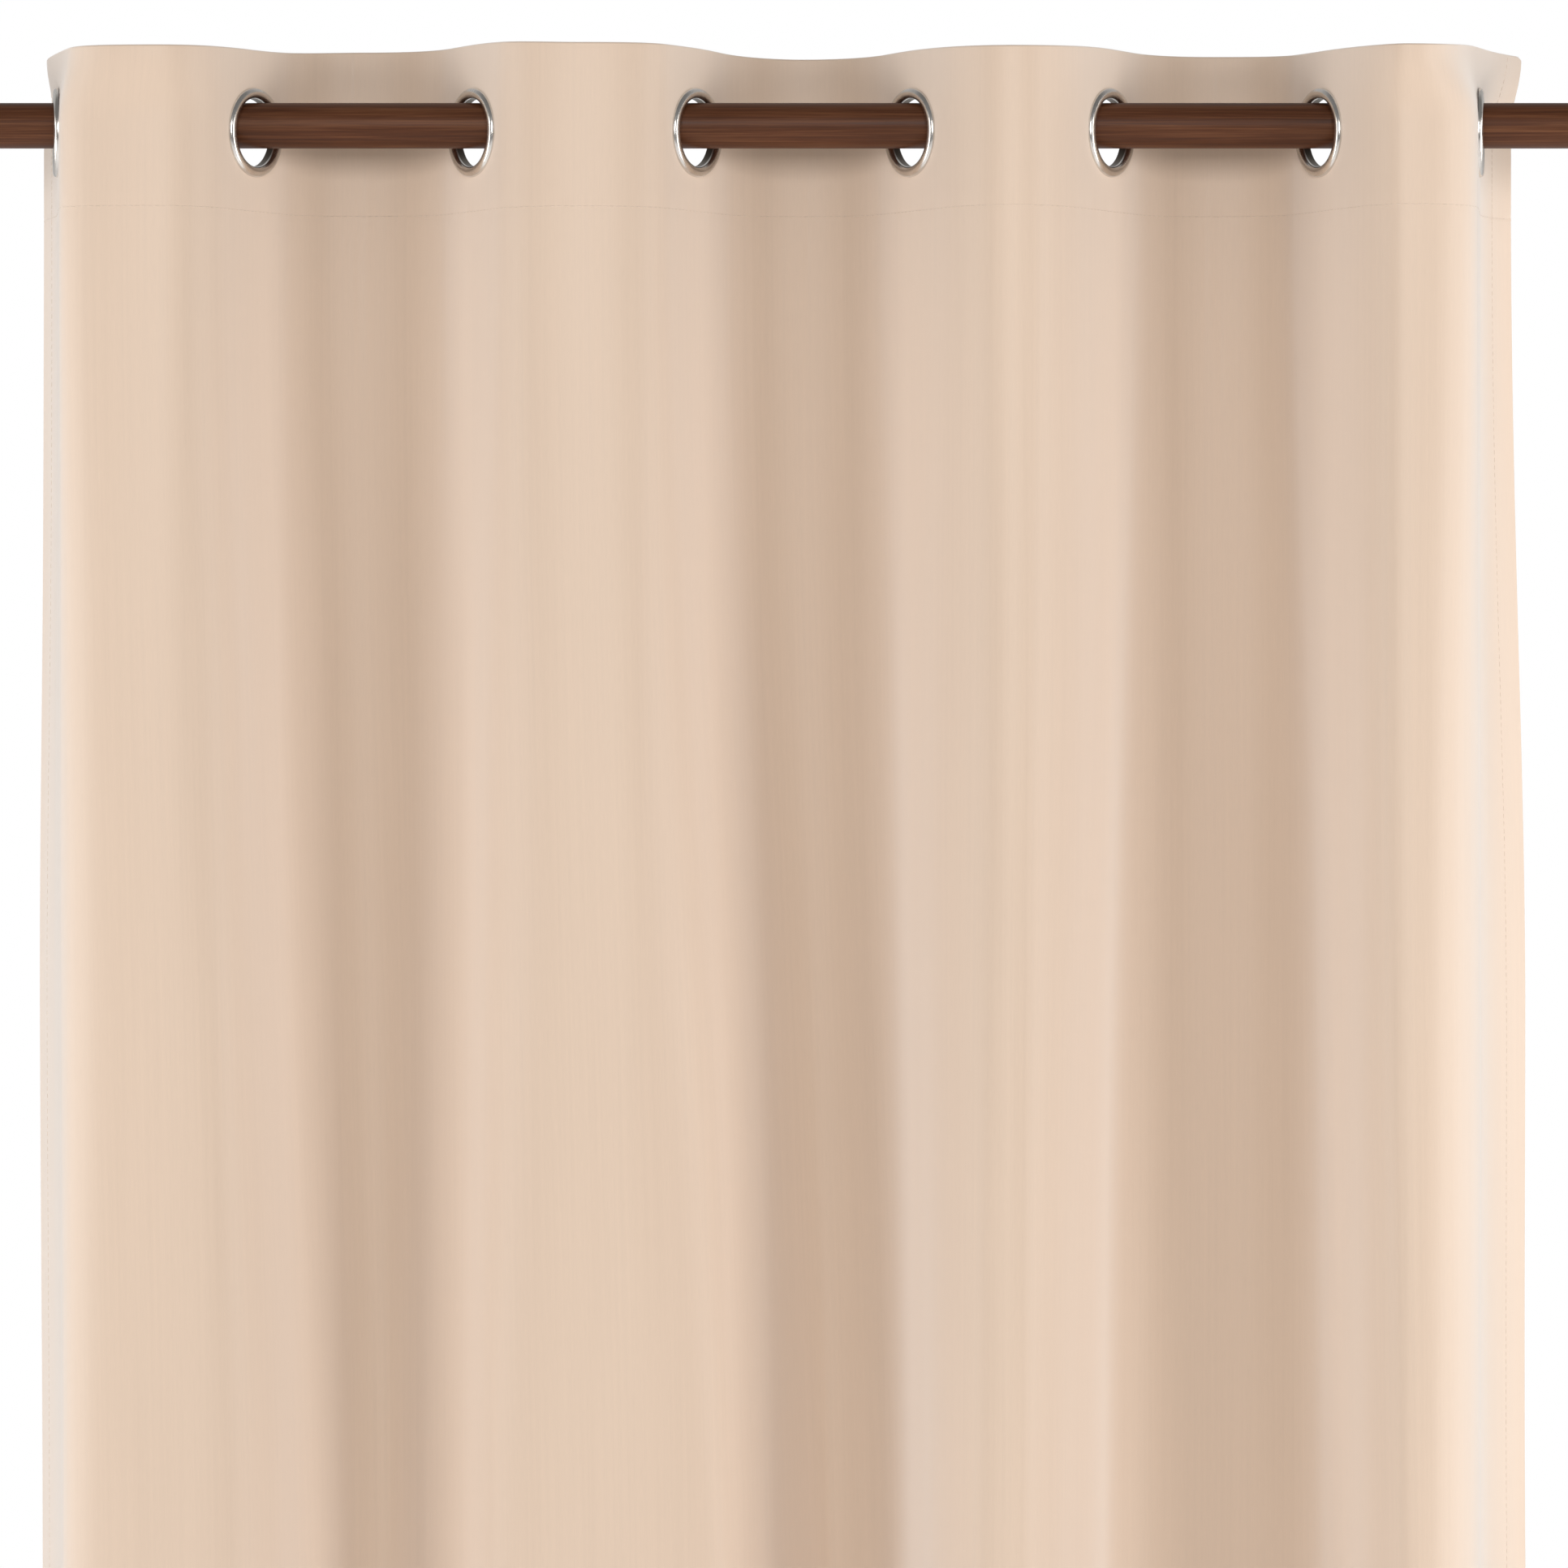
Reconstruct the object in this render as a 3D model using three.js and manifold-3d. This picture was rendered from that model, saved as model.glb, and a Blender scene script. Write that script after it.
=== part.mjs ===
// An eyelet curtain hanging on a wooden rod, with the rod's wall brackets and finials.
// Millimetres, +Z up, +X along the rod to the viewer's right, +Y into the wall.
// The origin is on the wall plane, level with the rod's axis, at the middle of the rod.
import * as THREE from 'three';
import { mergeVertices } from 'three/addons/utils/BufferGeometryUtils.js';
import Module from 'manifold-3d';

const wasm = await Module();
wasm.setup();

// ---- Driving dimensions ----

const GAP = 0.3; // air between pieces that touch

const ROD_RADIUS = 14;
const ROD_LENGTH = 1200;
const ROD_TO_WALL = 110;

const BRACKET_X = 540; // from the middle of the rod
const DISC_RADIUS = 22;
const DISC_THICKNESS = 6;
const CAP_RADIUS = 27;
const CAP_DEPTH = 14;
const STEM_RADIUS = 7;
const CRADLE_WALL = 4;
const CRADLE_WIDTH = 18;
const WALL_SCREW_SPREAD = 12; // above and below the disc's centre
const WALL_SCREW_LENGTH = 40;
const PILOT_RADIUS = 2.1; // hole for a rod screw
const ROD_SCREW_DEPTH = 8;
const GRUB_RADIUS = 2;

const COLLAR_LENGTH = 18;
const COLLAR_RADIUS = 16.5;
const BALL_RADIUS = 25;
const DOWEL_RADIUS = 3;
const DOWEL_LENGTH = 40;

const EYELET_HOLE_RADIUS = 21;
const EYELET_RADIUS = 27.5;
const EYELET_DOME = 2.9; // height of a ring over the cloth
const BARREL_WALL = 1.2;
const EYELET_DROP = 4.3; // the eyelets hang this far below the rod's axis

const CLOTH = 0.8; // thickness of the cloth
const TAPE = 0.6; // thickness of the stiffening tape in the heading
const HEADING_ABOVE_ROD = 46;
const HEADING_DEPTH = 100;
const PANEL_WIDTH = 1400; // the flat, cut width
const PANEL_DROP = 2600;

// Where the eyelets sit along the rod as the curtain hangs, and how far the cloth at each is
// turned from the rod's line, in degrees. The outermost two turn further, towards the wall.
const EYELET_X = [-446, -327, -191, -55, 79, 200, 331, 427];
const EYELET_TURN = [84, 58, 58, 58, 58, 58, 64, 84];
const FLAP_END_TURN = [67, 38]; // the same angle at the two free edges

const CLOTH_PER_FOLD = 177; // cloth between neighbouring eyelets
const FLAT_HALF = 28; // the rings hold the cloth flat this far from an eyelet's centre
const CLOSE_ANGLE = 29; // how far each strip can turn as the curtain is gathered
const OPEN_ANGLE = 5; // and as it is spread

// ---- Derived dimensions ----

const HEADING_HALF = CLOTH + GAP + TAPE / 2; // half the thickness of the folded heading
const POCKET_HALF = TAPE / 2 + GAP;
const RING_FACE = HEADING_HALF + GAP; // where a ring's flat side lies, from the fold line
const RING_TOP = RING_FACE + EYELET_DOME;
const BARREL_RADIUS = EYELET_HOLE_RADIUS + BARREL_WALL;
const CLOTH_HOLE_RADIUS = BARREL_RADIUS + GAP + 0.1;
const CRADLE_INNER = ROD_RADIUS + GAP + 0.1;
const CRADLE_OUTER = CRADLE_INNER + CRADLE_WALL;
const ROD_END = ROD_LENGTH / 2;
const PANEL_BOTTOM = HEADING_ABOVE_ROD - PANEL_DROP;
const HEADING_BOTTOM = HEADING_ABOVE_ROD - HEADING_DEPTH;
const FLAP = (PANEL_WIDTH - (EYELET_X.length - 1) * CLOTH_PER_FOLD) / 2;

const RING_STEPS = 20;
const ROUND_STEPS = 20;
const SMALL_STEPS = 12;
const CURVE_STEPS = 7;

// ---- Materials ----

function paint(color, roughness, metalness) {
  return new THREE.MeshStandardMaterial({ color, roughness, metalness });
}

const walnut = paint(0x5c3c2c, 0.45, 0);
const nickel = paint(0xc8c4be, 0.18, 1);
const steel = paint(0x9a9a98, 0.35, 1);
const fabric = paint(0xd9c0a6, 0.8, 0);
const buckram = paint(0xf0ebe2, 0.95, 0);

// ---- Solids ----

function toSolid(geometry) {
  const bare = geometry.clone();
  bare.deleteAttribute('normal');
  bare.deleteAttribute('uv');
  const merged = mergeVertices(bare, 1e-4);
  const vertProperties = new Float32Array(merged.attributes.position.array);
  const triVerts = new Uint32Array(merged.index.array);
  return new wasm.Manifold(new wasm.Mesh({ numProp: 3, vertProperties, triVerts }));
}

function toGeometry(solid) {
  const mesh = solid.getMesh();
  const geometry = new THREE.BufferGeometry();
  geometry.setAttribute('position', new THREE.BufferAttribute(mesh.vertProperties, 3));
  geometry.setIndex(new THREE.BufferAttribute(mesh.triVerts, 1));
  geometry.computeVertexNormals();
  return geometry;
}

// A body with other bodies joined on, and more cut away.
function carve(body, added, removed) {
  let solid = toSolid(body);
  for (const piece of added) {
    solid = solid.add(toSolid(piece));
  }
  for (const piece of removed) {
    solid = solid.subtract(toSolid(piece));
  }
  return toGeometry(solid);
}

// A closed turned body about +Y from its outline of [radius, height] points.
function turned(outline, steps) {
  const points = outline.map(([radius, height]) => new THREE.Vector2(radius, height));
  return new THREE.LatheGeometry(points, steps);
}

// A cylinder along one axis, from one place on that axis to another.
function bar(radius, axis, from, to, steps = SMALL_STEPS) {
  const geometry = new THREE.CylinderGeometry(radius, radius, Math.abs(to - from), steps);
  if (axis === 'x') geometry.rotateZ(-Math.PI / 2);
  if (axis === 'z') geometry.rotateX(Math.PI / 2);
  const middle = (from + to) / 2;
  const along = { x: [middle, 0, 0], y: [0, middle, 0], z: [0, 0, middle] };
  return geometry.translate(...along[axis]);
}

function addMesh(parent, name, geometry, material) {
  const mesh = new THREE.Mesh(geometry, material);
  mesh.name = name;
  parent.add(mesh);
  return mesh;
}

// ---- Rod ----

// One length of wood, with a pilot hole over each cradle and a dowel hole in each end.
function rodGeometry() {
  const holes = [];
  for (const side of [-1, 1]) {
    const pilot = bar(PILOT_RADIUS, 'z', -ROD_RADIUS - 1, -ROD_RADIUS + ROD_SCREW_DEPTH);
    holes.push(pilot.translate(side * BRACKET_X, 0, 0));
    const dowelEnd = ROD_END - DOWEL_LENGTH / 2 - 1;
    holes.push(bar(DOWEL_RADIUS + GAP, 'x', side * dowelEnd, side * (ROD_END + 1)));
  }
  const body = bar(ROD_RADIUS, 'x', -ROD_END, ROD_END, 32);
  return carve(body, [], holes);
}

// ---- Finials: these are drawn for the right-hand end and turned round for the left ----

// Turned in one piece: a spigot that enters the collar, a bead, a neck and a ball.
function finialGeometry() {
  const ballCentre = 40;
  const outline = [
    [0, GAP], [13.9, GAP], [13.9, 6.8], [16.6, 7],
    [17.4, 8.8], [16.4, 10.6], [12, 11.4], [11.2, 14],
  ];
  const firstAngle = Math.asin(11.6 / BALL_RADIUS);
  const ballSteps = 8;
  for (let i = 0; i <= ballSteps; i += 1) {
    const angle = firstAngle + ((Math.PI - firstAngle) * i) / ballSteps;
    const radius = i === ballSteps ? 0 : BALL_RADIUS * Math.sin(angle);
    outline.push([radius, ballCentre - BALL_RADIUS * Math.cos(angle)]);
  }
  const body = turned(outline, ROUND_STEPS).rotateZ(-Math.PI / 2);
  const hole = bar(DOWEL_RADIUS + GAP, 'x', -1, DOWEL_LENGTH / 2 + 1);
  return carve(body, [], [hole]);
}

// A metal sleeve over the joint between rod and finial.
function collarGeometry() {
  const inner = ROD_RADIUS + GAP;
  const back = -COLLAR_LENGTH + 6;
  const outline = [
    [inner, back], [COLLAR_RADIUS - 0.8, back], [COLLAR_RADIUS, back + 1],
    [COLLAR_RADIUS, 5], [COLLAR_RADIUS - 0.8, 6], [inner, 6], [inner, back],
  ];
  return turned(outline, ROUND_STEPS).rotateZ(-Math.PI / 2);
}

// A double-ended screw that holds the finial on.
function dowelScrewGeometry() {
  const half = DOWEL_LENGTH / 2;
  const outline = [
    [0, -half], [1.2, -half + 1], [DOWEL_RADIUS, -half + 5],
    [DOWEL_RADIUS, half - 5], [1.2, half - 1], [0, half],
  ];
  return turned(outline, SMALL_STEPS).rotateZ(-Math.PI / 2);
}

function addFinial(parent, side, label) {
  const end = new THREE.Group();
  end.position.x = side * ROD_END;
  end.rotation.z = side > 0 ? 0 : Math.PI;
  addMesh(end, `finial_${label}`, finialGeometry(), walnut);
  addMesh(end, `finial_collar_${label}`, collarGeometry(), nickel);
  addMesh(end, `finial_dowel_screw_${label}`, dowelScrewGeometry(), steel);
  parent.add(end);
}

// ---- Brackets: drawn about the point where the bracket's centre line meets the wall ----

// A countersunk screw along +Y: head level with the disc's front, point in the wall.
function wallScrewOutline(clearance) {
  const head = -DISC_THICKNESS;
  const point = head + WALL_SCREW_LENGTH;
  return [
    [0, head], [4 + clearance, head], [2 + clearance, head + 2.2],
    [2 + clearance, point - 6], [0, point],
  ];
}

function wallScrewGeometry() {
  const slots = [];
  for (const turn of [0, Math.PI / 2]) {
    const slot = new THREE.BoxGeometry(4.4, 2.4, 0.8);
    slot.rotateY(turn);
    slots.push(slot.translate(0, -DISC_THICKNESS, 0));
  }
  return carve(turned(wallScrewOutline(0), SMALL_STEPS), [], slots);
}

// The fixing disc, screwed flat to the wall, that the bracket slips over.
function wallDiscGeometry() {
  const holes = [];
  for (const up of [-1, 1]) {
    const outline = wallScrewOutline(GAP);
    outline.unshift([0, -DISC_THICKNESS - 1], [4 + GAP, -DISC_THICKNESS - 1]);
    outline.splice(2, 1);
    holes.push(turned(outline, SMALL_STEPS).translate(0, 0, up * WALL_SCREW_SPREAD));
  }
  return carve(bar(DISC_RADIUS, 'y', -DISC_THICKNESS, 0, ROUND_STEPS), [], holes);
}

// An open ring under the rod: a channel's cross-section, as wide as the cradle along X.
function cradleGeometry() {
  const front = Math.PI + 0.12;
  const back = 2 * Math.PI + 0.35;
  const section = new THREE.Shape();
  section.absarc(0, 0, CRADLE_OUTER, front, back, false);
  section.absarc(0, 0, CRADLE_INNER, back, front, true);
  section.closePath();
  const settings = { depth: CRADLE_WIDTH, bevelEnabled: false, curveSegments: 18 };
  const cradle = new THREE.ExtrudeGeometry(section, settings);
  cradle.translate(0, 0, -CRADLE_WIDTH / 2);
  cradle.rotateX(Math.PI / 2);
  cradle.rotateZ(Math.PI / 2);
  return cradle.translate(0, -ROD_TO_WALL, 0);
}

// Hollow cap over the fixing disc, stem and cradle, cast in one piece.
function bracketGeometry() {
  const stemEnd = -ROD_TO_WALL + CRADLE_INNER + CRADLE_WALL / 2;
  const cap = turned([
    [0, stemEnd], [STEM_RADIUS, stemEnd], [STEM_RADIUS, -CAP_DEPTH - 12], [8.5, -CAP_DEPTH - 6],
    [12, -CAP_DEPTH - 2], [20, -CAP_DEPTH + 1], [25.5, -CAP_DEPTH + 5], [CAP_RADIUS, -5],
    [CAP_RADIUS, 0], [0, 0],
  ], ROUND_STEPS);
  const room = bar(DISC_RADIUS + GAP, 'y', -DISC_THICKNESS - 1, 1, ROUND_STEPS);
  const grubHole = bar(GRUB_RADIUS + GAP, 'z', -CAP_RADIUS - 1, -DISC_RADIUS + 2);
  grubHole.translate(0, -DISC_THICKNESS / 2, 0);
  const rodScrewHole = bar(PILOT_RADIUS, 'z', -CRADLE_OUTER - 1, -CRADLE_INNER + 1);
  rodScrewHole.translate(0, -ROD_TO_WALL, 0);
  const rodSpace = bar(CRADLE_INNER, 'x', -CRADLE_WIDTH, CRADLE_WIDTH, 36);
  rodSpace.translate(0, -ROD_TO_WALL, 0);
  return carve(cap, [cradleGeometry()], [room, grubHole, rodScrewHole, rodSpace]);
}

// A short headless screw that clamps the cap on the disc, with a hexagonal socket below.
function grubScrewGeometry() {
  const top = -DISC_RADIUS - GAP;
  const body = bar(GRUB_RADIUS, 'z', top - 4.2, top);
  const socket = bar(1.1, 'z', top - 5, top - 2.4, 6);
  return carve(body, [], [socket]).translate(0, -DISC_THICKNESS / 2, 0);
}

// A round-headed screw up through the cradle into the rod.
function rodScrewGeometry() {
  const head = -CRADLE_OUTER - GAP;
  const tip = -ROD_RADIUS + ROD_SCREW_DEPTH - 1;
  const outline = [
    [0, head - 2.4], [2.4, head - 2.1], [3.8, head - 0.9], [3.8, head],
    [PILOT_RADIUS - GAP, head], [PILOT_RADIUS - GAP, tip - 3], [0, tip],
  ];
  return turned(outline, SMALL_STEPS).rotateX(Math.PI / 2).translate(0, -ROD_TO_WALL, 0);
}

function addBracket(parent, side, label) {
  const place = new THREE.Group();
  place.position.x = side * BRACKET_X;
  addMesh(place, `wall_disc_${label}`, wallDiscGeometry(), steel);
  addMesh(place, `bracket_${label}`, bracketGeometry(), nickel);
  addMesh(place, `bracket_grub_screw_${label}`, grubScrewGeometry(), steel);
  addMesh(place, `rod_screw_${label}`, rodScrewGeometry(), steel);
  for (const [up, level] of [[1, 'upper'], [-1, 'lower']]) {
    const screw = addMesh(place, `wall_screw_${label}_${level}`, wallScrewGeometry(), steel);
    screw.position.z = up * WALL_SCREW_SPREAD;
  }
  parent.add(place);
}

// ---- The fold line: the curtain's middle surface seen from above, about the rod's axis ----

// Odd eyelets stand on cloth that comes from a back fold and goes on to a front fold, so their
// cloth runs towards the viewer; even ones run away from the viewer.
function awaySign(index) {
  return index % 2 === 0 ? -1 : 1;
}

function direction(degrees, sign) {
  const angle = THREE.MathUtils.degToRad(degrees);
  return new THREE.Vector2(Math.cos(angle), sign * Math.sin(angle));
}

// From an eyelet to the crest of a fold, both measured from the eyelet: straight under the
// rings, then a curve that ends level with the rod's line.
function eyeletToCrest(turnDegrees, halfPitch, depth) {
  const out = direction(turnDegrees, 1);
  const corner = out.clone().multiplyScalar(depth / out.y);
  const start = out.clone().multiplyScalar(FLAT_HALF);
  const pull = start.clone().lerp(corner, 0.35);
  const crest = new THREE.Vector2(halfPitch, depth);
  return new THREE.CubicBezierCurve(start, pull, corner, crest);
}

function foldLength(index, depth) {
  const halfPitch = (EYELET_X[index + 1] - EYELET_X[index]) / 2;
  const left = eyeletToCrest(EYELET_TURN[index], halfPitch, depth);
  const right = eyeletToCrest(EYELET_TURN[index + 1], halfPitch, depth);
  return left.getLength() + right.getLength() + 2 * FLAT_HALF;
}

// How deep a fold stands from the rod's line so that it takes up its share of cloth.
function foldDepth(index) {
  let low = 30;
  let high = 80;
  while (high - low > 0.001) {
    const middle = (low + high) / 2;
    if (foldLength(index, middle) < CLOTH_PER_FOLD) low = middle;
    else high = middle;
  }
  return low;
}

// The flap from an outermost eyelet to its free edge, measured from the eyelet outwards.
function eyeletToEdge(turnDegrees, endDegrees) {
  const out = direction(turnDegrees, 1);
  const start = out.clone().multiplyScalar(FLAT_HALF);
  const rest = FLAP - FLAT_HALF;
  const pull = start.clone().addScaledVector(out, rest / 2);
  const end = pull.clone().addScaledVector(direction(endDegrees, 1), rest / 2);
  return new THREE.QuadraticBezierCurve(start, pull, end);
}

// Whether a strip ends in a free edge on one side, and not at the crest of a fold.
function isFree(index, side) {
  const neighbour = index + side;
  return neighbour < 0 || neighbour >= EYELET_X.length;
}

// One side of an eyelet as points in the plan, from the eyelet outwards.
function halfStrip(index, side) {
  const turn = EYELET_TURN[index];
  const fold = Math.min(index, index + side);
  const curve = isFree(index, side)
    ? eyeletToEdge(turn, FLAP_END_TURN[side < 0 ? 0 : 1])
    : eyeletToCrest(turn, (EYELET_X[fold + 1] - EYELET_X[fold]) / 2, foldDepth(fold));
  const mirrorY = side * awaySign(index);
  return curve.getPoints(CURVE_STEPS).map(
    (point) => new THREE.Vector2(EYELET_X[index] + side * point.x, mirrorY * point.y),
  );
}

// The whole strip round one eyelet, from its left end to its right end.
function stripLine(index) {
  return [...halfStrip(index, -1).reverse(), ...halfStrip(index, 1)];
}

// ---- Cloth ----

// How far a strip's end stands back from the crest of its fold, at a distance from the fold
// line: the inside of a fold closes as the curtain is gathered and the outside as it is spread.
function standBack(offset, crestSide) {
  const inside = offset * crestSide < 0;
  const angle = THREE.MathUtils.degToRad(inside ? CLOSE_ANGLE : OPEN_ANGLE);
  return GAP / 2 + Math.abs(offset) * Math.tan(angle);
}

// Which way the line runs at one of its points: level with the rod at a crest.
function lineDirection(line, i, crests) {
  const last = line.length - 1;
  if ((i === 0 && crests[0]) || (i === last && crests[1])) return new THREE.Vector2(1, 0);
  const before = line[Math.max(i - 1, 0)];
  const after = line[Math.min(i + 1, last)];
  return after.clone().sub(before).normalize();
}

// The strip's line pushed towards the back by an offset. Its two ends reach on along it, or
// stand back where the reach is negative.
function pushed(index, offset, reach) {
  const line = stripLine(index);
  const last = line.length - 1;
  const crests = [-1, 1].map((side) => !isFree(index, side));
  return line.flatMap((point, i) => {
    const along = lineDirection(line, i, crests);
    const moved = new THREE.Vector2(point.x - offset * along.y, point.y + offset * along.x);
    if (i !== 0 && i !== last) return [moved];
    const [side, length] = i === 0 ? [-1, reach[0]] : [1, reach[1]];
    const end = moved.clone().addScaledVector(along, side * length);
    if (length <= 0) return [end];
    return side < 0 ? [end, moved] : [moved, end];
  });
}

// A layer of the strip between two offsets from the line, and from one height to another.
function layer(index, offsets, reachAt, bottom, top) {
  const [front, back] = offsets.map((offset) => pushed(index, offset, reachAt(offset)));
  const shape = new THREE.Shape([...front, ...back.reverse()]);
  const geometry = new THREE.ExtrudeGeometry(shape, { depth: top - bottom, bevelEnabled: false });
  return geometry.translate(0, 0, bottom);
}

// The reach of a strip's two ends: back from a crest, and none at a free edge.
function stripReach(index, extra) {
  return (offset) => [-1, 1].map((side) => {
    const room = isFree(index, side) ? 0 : standBack(offset, side * awaySign(index));
    return -room - extra;
  });
}

// A cutter for the eyelet's hole, square to the cloth.
function eyeletCutter(index, radius) {
  const hole = bar(radius, 'y', -8, 8, RING_STEPS);
  hole.rotateZ(awaySign(index) * THREE.MathUtils.degToRad(EYELET_TURN[index]));
  return hole.translate(EYELET_X[index], 0, -EYELET_DROP);
}

// The top of a strip: the cloth turned over and stitched down behind, round a flat pocket.
function headingGeometry(index) {
  const past = () => [6, 6];
  const block = layer(
    index, [-HEADING_HALF, HEADING_HALF], stripReach(index, 0), HEADING_BOTTOM, HEADING_ABOVE_ROD,
  );
  const pocket = layer(
    index, [-POCKET_HALF, POCKET_HALF], past, HEADING_BOTTOM + CLOTH, HEADING_ABOVE_ROD - CLOTH,
  );
  return carve(block, [], [pocket, eyeletCutter(index, CLOTH_HOLE_RADIUS)]);
}

// The rest of a strip, a single layer that hangs from the front of the heading.
function clothGeometry(index) {
  return layer(
    index, [-HEADING_HALF, CLOTH - HEADING_HALF], stripReach(index, 0),
    PANEL_BOTTOM, HEADING_BOTTOM - GAP,
  );
}

// The stiffening tape inside the heading.
function tapeGeometry(index) {
  const strip = layer(
    index, [-TAPE / 2, TAPE / 2], stripReach(index, 1),
    HEADING_BOTTOM + 2, HEADING_ABOVE_ROD - CLOTH - GAP,
  );
  return carve(strip, [], [eyeletCutter(index, CLOTH_HOLE_RADIUS)]);
}

// ---- Eyelets: turned about +Y, which points to the back of the cloth ----

function domePoint(innerRadius, share, sign) {
  const half = (EYELET_RADIUS - innerRadius) / 2;
  const angle = Math.PI * share;
  const height = RING_FACE + EYELET_DOME * Math.sin(angle);
  return [innerRadius + half - half * Math.cos(angle), sign * height];
}

// The front half, with the barrel that passes through the cloth.
function frontRingGeometry() {
  const barrelEnd = RING_TOP - 1.2;
  return turned([
    [BARREL_RADIUS, -RING_FACE], [BARREL_RADIUS, barrelEnd], [EYELET_HOLE_RADIUS, barrelEnd],
    [EYELET_HOLE_RADIUS, -RING_FACE], domePoint(EYELET_HOLE_RADIUS, 0.25, -1),
    domePoint(EYELET_HOLE_RADIUS, 0.5, -1), domePoint(EYELET_HOLE_RADIUS, 0.78, -1),
    [EYELET_RADIUS, -RING_FACE], [BARREL_RADIUS, -RING_FACE],
  ], RING_STEPS);
}

// The back half, which snaps over the barrel and grips the cloth.
function backRingGeometry() {
  const inner = BARREL_RADIUS + GAP;
  return turned([
    [inner, RING_FACE], [EYELET_RADIUS, RING_FACE], domePoint(inner, 0.75, 1),
    domePoint(inner, 0.45, 1), domePoint(inner, 0.15, 1), [inner, RING_FACE],
  ], RING_STEPS);
}

function addPanelStrip(parent, index) {
  const label = index + 1;
  addMesh(parent, `heading_${label}`, headingGeometry(index), fabric);
  addMesh(parent, `cloth_${label}`, clothGeometry(index), fabric);
  addMesh(parent, `heading_tape_${label}`, tapeGeometry(index), buckram);
  const eyelet = new THREE.Group();
  eyelet.position.set(EYELET_X[index], 0, -EYELET_DROP);
  eyelet.rotation.z = awaySign(index) * THREE.MathUtils.degToRad(EYELET_TURN[index]);
  addMesh(eyelet, `eyelet_front_${label}`, frontRingGeometry(), nickel);
  addMesh(eyelet, `eyelet_back_${label}`, backRingGeometry(), nickel);
  parent.add(eyelet);
}

// ---- Assembly ----

const curtainSet = new THREE.Group();

const onRod = new THREE.Group();
onRod.position.y = -ROD_TO_WALL;
addMesh(onRod, 'rod', rodGeometry(), walnut);
for (const [side, label] of [[-1, 'left'], [1, 'right']]) {
  addFinial(onRod, side, label);
  addBracket(curtainSet, side, label);
}
for (let index = 0; index < EYELET_X.length; index += 1) {
  addPanelStrip(onRod, index);
}
curtainSet.add(onRod);

export default curtainSet;
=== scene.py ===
import math

import bmesh
import bpy
import numpy as np
from mathutils import Matrix, Vector


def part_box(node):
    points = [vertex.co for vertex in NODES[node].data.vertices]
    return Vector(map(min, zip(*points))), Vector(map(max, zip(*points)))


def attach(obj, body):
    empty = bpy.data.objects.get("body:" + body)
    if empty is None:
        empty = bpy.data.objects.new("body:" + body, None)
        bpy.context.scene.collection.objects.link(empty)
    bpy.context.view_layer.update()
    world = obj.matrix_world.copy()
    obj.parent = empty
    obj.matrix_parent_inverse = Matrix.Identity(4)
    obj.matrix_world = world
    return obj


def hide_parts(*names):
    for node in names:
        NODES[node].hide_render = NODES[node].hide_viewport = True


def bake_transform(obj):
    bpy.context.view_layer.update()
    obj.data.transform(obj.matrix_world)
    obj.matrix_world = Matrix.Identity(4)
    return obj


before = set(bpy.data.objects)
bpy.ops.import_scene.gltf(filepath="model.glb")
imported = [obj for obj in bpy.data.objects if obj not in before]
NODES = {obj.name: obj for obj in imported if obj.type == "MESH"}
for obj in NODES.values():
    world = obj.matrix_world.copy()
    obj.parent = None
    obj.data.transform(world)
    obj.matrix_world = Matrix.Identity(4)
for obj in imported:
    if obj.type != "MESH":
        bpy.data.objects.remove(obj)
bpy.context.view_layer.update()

# An eyelet curtain on a wooden rod. Metres, +Z up, +X along the rod, +Y into the wall.

MM = 0.001

# ---- Sizes of the finished pieces ----

CLOTH_THICKNESS = 0.55 * MM
FACE_OFFSET = -1.0 * MM      # the cloth's front layer, from the fold line towards the room
LAYER_SPREAD = 1.0 * MM      # the turned layers lie this far behind the fold line
SIDE_HEM_OFFSET = 0.7 * MM   # a side hem's inner layer, behind the layer it is turned from
SIDE_HEM = 22 * MM
BOTTOM_HEM = 90 * MM
PINCH = 6 * MM               # a turned layer meets the front layer over this height
FLAT_HALF = 28 * MM          # the rings hold the cloth flat this far each side of an eyelet
FLAP = 80.5 * MM
FOLD_CLOTH = 177 * MM        # cloth between neighbouring eyelets
HOLE_RADIUS = 24.4 * MM      # the cloth's cut hole, hidden under the rings
EYELET_HOLE = 21 * MM
EYELET_RADIUS = 27.5 * MM
EYELET_DOME = 3.0 * MM
BARREL_WALL = 1.1 * MM
STITCH_LENGTH = 3.1 * MM
STITCH_RADIUS = 0.22 * MM
HOLE_REACH = 10              # grid columns each side of an eyelet that its hole may cut
HEM_COLUMNS = 12             # grid columns turned in behind at a side hem
SHARP_ANGLE = math.radians(35)
FLOOR_RADIUS = 7.5
LIT_POINT = (0, -0.11, -0.5)    # what the lights point at
LIGHT_DISTANCE = 2.5            # the side and rim lights, from the rod in plan

# How far each line of eyelets wanders sideways by a metre below the rod.
DRIFT = [value * MM for value in (1, 22, 5, 30, 7, -7, 8, 1)]
# How the free edges are turned from the rod's line, lower down and at their top corners, and
# how much less steep the outermost eyelets' lines are at the top.
FLAP_END_TURN = [math.radians(67), math.radians(38)]
FLAP_CORNER_TURN = [math.radians(106), math.radians(57)]
TOP_EASING = [math.radians(10), math.radians(14)]
CORNER_RADIUS = 3 * MM
# How far the heading's top edge rises, at the free edges, the eyelets and the folds' crests.
TOP_RISE = [value * MM for value in (
    -2, -0.5, -0.8, 0.8, 3.2, 4, 1.5, 2, -1, 0.5, -1.5, 1.5, 0.7, 0, -1.5, 2.5, 3.0,
)]


# ---- What the frame says ----

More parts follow.
